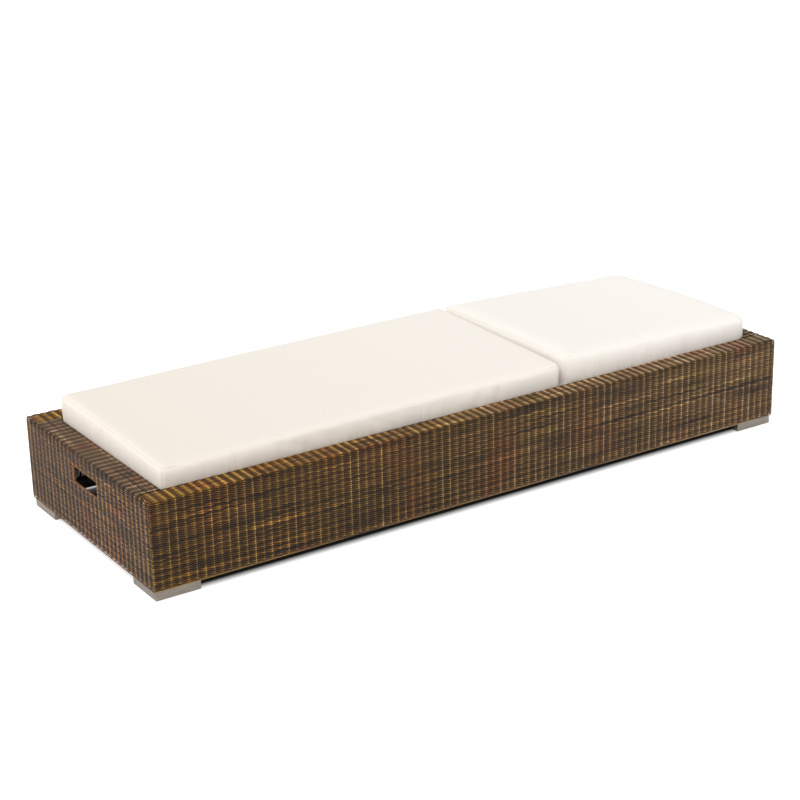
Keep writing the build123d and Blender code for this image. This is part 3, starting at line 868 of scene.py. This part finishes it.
# %% Filling it
def filled(name, form, held, pressure, frames):
    """Blows the cover up with the cloth simulation and returns the points where it ends."""
    mesh = bpy.data.meshes.new(name)
    form.to_mesh(mesh)
    holder = bpy.data.objects.new(name, mesh)
    scene.collection.objects.link(holder)
    group = holder.vertex_groups.new(name="held")
    for index in np.flatnonzero(held):
        group.add([int(index)], held[index], "REPLACE")
    cloth = holder.modifiers.new("cloth", "CLOTH")
    cloth.settings.quality = 6
    cloth.settings.mass = 0.3
    cloth.settings.use_pressure = True
    cloth.settings.uniform_pressure_force = pressure
    cloth.settings.effector_weights.gravity = 0
    cloth.settings.vertex_group_mass = "held"
    cloth.settings.shrink_min = -0.012  # cut 1.2% too large, so that it can swell
    cloth.point_cache.frame_start = 1
    cloth.point_cache.frame_end = frames
    for number in range(1, frames + 1):
        scene.frame_set(number)
    swollen = bpy.data.meshes.new_from_object(holder.evaluated_get(bpy.context.evaluated_depsgraph_get()))
    points = vertices_of(swollen)
    scene.frame_set(1)
    bpy.data.objects.remove(holder)
    return points


def soften(form, points, times):
    """Smooths those points, and with each turn their neighbours too, which rounds a sharp edge."""
    axes = {"use_axis_x": True, "use_axis_y": True, "use_axis_z": True}
    for step in range(times):
        bmesh.ops.smooth_vert(form, verts=points, factor=0.5, **axes)
        around = {vertex: None for point in points for edge in point.link_edges for vertex in edge.verts}
        points = list(around)


def subdivided(name, form, looseness):
    """The cover as a mesh, subdivided once, with how loose the cloth is at each point."""
    raw = bpy.data.meshes.new(name)
    form.to_mesh(raw)
    form.free()
    raw.attributes.new("loose", "FLOAT", "POINT").data.foreach_set("value", looseness)
    holder = bpy.data.objects.new(name, raw)
    scene.collection.objects.link(holder)
    smoother = holder.modifiers.new("smooth", "SUBSURF")
    smoother.levels = smoother.render_levels = 1
    smooth = bpy.data.meshes.new_from_object(holder.evaluated_get(bpy.context.evaluated_depsgraph_get()))
    bpy.data.objects.remove(holder)
    return smooth


# %% Sewing it up
welt_radius = 0.8 * mm
# The welts lie that high over the seams, and sink into the cloth away from the cushion's two ends.
top_welt_rise, bottom_welt_rise, welt_sink = 0.2 * mm, 0.8 * mm, 1.4 * mm


def creased(points, creases):
    """Draws the cloth in along each crease: start, end, depth and half width."""
    for start, end, depth, half_breadth in creases:
        start, end = np.array(start), np.array(end)
        share = np.clip((points - start) @ (end - start) / np.sum((end - start) ** 2), 0, 1)
        distance = np.linalg.norm(points - start - share[:, None] * (end - start), axis=1)
        fade = np.sin(pi * (0.15 + 0.7 * share))
        inward = np.array((0, 0.7, -0.7))
        fold = depth * fade * np.exp(-((distance / half_breadth) ** 2))
        points = points + fold[:, None] * inward
    return points


def seam_lines(points, shares, on_top, on_bottom):
    """The lines of the welts: round the top, round the bottom and up the four corners."""
    middle = (points.min(axis=0) + points.max(axis=0)) / 2
    lines = []
    for on_seam, rise in ((on_top, top_welt_rise), (on_bottom, bottom_welt_rise)):
        seam = np.flatnonzero(on_seam)
        loop = points[seam]
        around = np.argsort(np.arctan2((loop[:, 1] - middle[1]) * 2, loop[:, 0] - middle[0]))
        sunk = np.clip((0.47 - np.abs(shares[seam, 0] - 0.5)) * 40, 0, 1) * welt_sink
        loop = (loop + np.column_stack((np.zeros((len(seam), 2)), rise - sunk)))[around]
        lines.append(np.vstack((loop, loop[:1])))
    for left, near in ((0, 0), (0, 1), (1, 0), (1, 1)):
        corner = np.flatnonzero((np.abs(shares[:, 0] - left) < 0.001) & (np.abs(shares[:, 1] - near) < 0.001))
        lines.append(points[corner[np.argsort(shares[corner, 2])]])
    return lines


# %% A cushion
pressure, frames = 4.0, 20
bottom_hold, seam_hold = 1.0, 0.4


def cushion(node, material, body, cut, crown, swell, softness, creases):
    """A filled box cushion with its seams, in that node's space.

    Cut is how its cover is cut. Crown and swell are the most that the top may rise and the borders
    swell. Softness says which top edges are smoothed, and how often."""
    name = node + "_cover"
    form, shares = cover(node, **cut)
    rest = np.array([vertex.co for vertex in form.verts])
    on_side = (np.abs(shares[:, :2] - 0.5) > 0.499).any(axis=1)
    on_top, on_bottom = shares[:, 2] > 0.999, shares[:, 2] < 0.001
    held = np.where(on_bottom, bottom_hold, np.where(on_top & on_side, seam_hold, 0.0))
    moves = filled(name, form, held, pressure, frames) - rest
    limits = np.array((swell, swell, crown))
    moves = limits * np.tanh(moves / limits)
    for vertex, place in zip(form.verts, rest + moves):
        vertex.co = place
    form.verts.ensure_lookup_table()
    for times, seams in softness:
        soft = np.flatnonzero(on_top & on_side & seams(shares))
        soften(form, [form.verts[int(number)] for number in soft], times)
    looseness = np.where(on_side & ~on_top, np.clip(1.25 - shares[:, 2], 0, 1), 0)
    smooth = subdivided(name + "_uncreased", form, looseness)
    points = creased(vertices_of(smooth), creases)
    smooth.vertices.foreach_set("co", points.ravel())
    form = bmesh.new()
    form.from_mesh(smooth)
    for line in seam_lines(points, shares, on_top & on_side, on_bottom & on_side):
        welt = tubes(name + "_welt", [line], welt_radius)
        welt.uv_layers[0].name = "cloth"
        form.from_mesh(welt)
    piece = place_piece(name, form, material, body, node)
    return piece


# %% The leg cushion
leg = cushion(
    "leg_cushion", leg_canvas, "base",
    cut={
        "edge_heights": (306 * mm, 324 * mm, 315 * mm, 330 * mm),
        "corners": (6 * mm, 6 * mm, 12 * mm, 6 * mm),
        "tuck": 1 * mm,
        "stretch": (0, 6 * mm, 0, 6 * mm),
        "arch": 0,
    },
    crown=7 * mm, swell=2 * mm,
    softness=((2, lambda share: np.abs(share[:, 1] - 0.5) > 0.499), (1, lambda share: share[:, 0] > 0.999)),
    creases=(
        ((-0.62, -0.285, 0.300), (-0.52, -0.290, 0.268), 2.0 * mm, 9 * mm),
        ((-0.52, -0.270, 0.309), (-0.44, -0.290, 0.280), 1.6 * mm, 8 * mm),
        ((-0.36, -0.280, 0.306), (-0.28, -0.290, 0.272), 2.0 * mm, 9 * mm),
        ((-0.30, -0.262, 0.312), (-0.19, -0.288, 0.292), 1.4 * mm, 10 * mm),
        ((0.02, -0.284, 0.306), (0.08, -0.290, 0.275), 1.4 * mm, 8 * mm),
    ),
)

# %% The head cushion
head = cushion(
    "head_cushion", head_canvas, "backrest",
    cut={
        "edge_heights": (334 * mm, 331 * mm, 318 * mm, 306 * mm),
        "corners": (16 * mm, 14 * mm, 8 * mm, 30 * mm),
        "tuck": 2.5 * mm,
        "stretch": (-10 * mm, 18 * mm, 0, 6 * mm),
        "arch": 9 * mm,
    },
    crown=12 * mm, swell=4 * mm,
    softness=((2, lambda share: share[:, 2] > 0.999),),
    creases=(
        ((0.62, -0.262, 0.325), (0.70, -0.284, 0.300), 1.5 * mm, 8 * mm),
        ((0.70, -0.262, 0.323), (0.80, -0.284, 0.300), 1.5 * mm, 8 * mm),
        ((0.335, -0.270, 0.325), (0.39, -0.284, 0.290), 1.6 * mm, 9 * mm),
    ),
)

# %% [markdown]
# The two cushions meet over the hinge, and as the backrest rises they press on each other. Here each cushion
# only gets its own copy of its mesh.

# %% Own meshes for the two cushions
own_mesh(leg)
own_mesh(head)

# %% [markdown]
# ## The stage
#
# A plain white floor and a soft even light, as in a catalogue studio. Such a floor is lit until it is white
# on the picture, so here it glows by itself. Under the base it doesn't glow and is painted grey, a painted
# shadow, and it takes the real shadow as well.

# %% Floor
floor_material = new_material("white_studio_floor")
floor_place = add_node(floor_material, "ShaderNodeTexCoord")
floor_axes = add_node(floor_material, "ShaderNodeSeparateXYZ", {"Vector": floor_place.outputs["Object"]})
# For each side of the base: how far out from the wall the painted grey shadow ends and the white starts.
glow_outside_painted_shadow = 0.0
for axis, wall, grey_ends, white_starts in (
    ("X", -half_length, -100 * mm, -10 * mm),
    ("X", half_length, -4 * mm, 16 * mm),
    ("Y", -half_width, -34 * mm, -10 * mm),
    ("Y", half_width, 10 * mm, 40 * mm),
):
    way = 1 if wall > 0 else -1
    outwards = add_node(
        floor_material, "ShaderNodeMath", {0: floor_axes.outputs[axis], 1: way}, operation="MULTIPLY"
    ).outputs["Value"]
    ends = {"From Min": abs(wall) + grey_ends, "From Max": abs(wall) + white_starts}
    share = add_node(floor_material, "ShaderNodeMapRange", {"Value": outwards, **ends}).outputs["Result"]
    brighter = add_node(floor_material, "ShaderNodeMath", {0: glow_outside_painted_shadow, 1: share}, operation="MAXIMUM")
    glow_outside_painted_shadow = brighter.outputs["Value"]
# Painted shadow: grey and without glow under the base, white and glowing outside.
floor_tone_and_painted_shadow = add_node(
    floor_material,
    "ShaderNodeValToRGB",
    {"Fac": glow_outside_painted_shadow},
    stops=((0.0, linear("#585858")), (1.0, linear("#f4f4f4"))),
)
floor_glow_outside_painted_shadow = add_node(floor_material, "ShaderNodeMath", {0: glow_outside_painted_shadow, 1: 0.6}, operation="MULTIPLY")
floor_shader = add_node(
    floor_material,
    "ShaderNodeBsdfPrincipled",
    {
        "Base Color": floor_tone_and_painted_shadow.outputs["Color"],
        "Roughness": 0.9,
        "Specular IOR Level": 0.0,
        "Emission Color": (1, 1, 1, 1),
        "Emission Strength": floor_glow_outside_painted_shadow.outputs["Value"],
    },
)
add_node(floor_material, "ShaderNodeOutputMaterial", {"Surface": floor_shader.outputs["BSDF"]})
floor_reach = 30
floor_form = bmesh.new()
bmesh.ops.create_grid(floor_form, x_segments=1, y_segments=1, size=floor_reach)
floor_mesh = bpy.data.meshes.new("floor")
floor_form.to_mesh(floor_mesh)
floor_form.free()
floor_mesh.materials.append(floor_material)
floor = bpy.data.objects.new("floor", floor_mesh)
scene.collection.objects.link(floor)
print("floor", 2 * floor_reach, "m across")

# %% Light
world = bpy.data.worlds.new("studio")
world.use_nodes = True
world.node_tree.nodes["Background"].inputs["Color"].default_value = (1, 1, 1, 1)
world.node_tree.nodes["Background"].inputs["Strength"].default_value = 0.78
scene.world = world
scene.view_settings.view_transform = "Standard"

# Even light from far away, from above and the foot end. The width of its source softens the shadows.
softbox_light = bpy.data.lights.new("overhead_softbox", "SUN")
softbox_light.angle = radians(30)
softbox_light.energy = 1.2
softbox = bpy.data.objects.new("overhead_softbox", softbox_light)
softbox.matrix_world = Vector((-0.55, -0.12, 0.83)).to_track_quat("Z", "Y").to_matrix().to_4x4()
scene.collection.objects.link(softbox)
print("softbox energy", round(softbox_light.energy, 1))
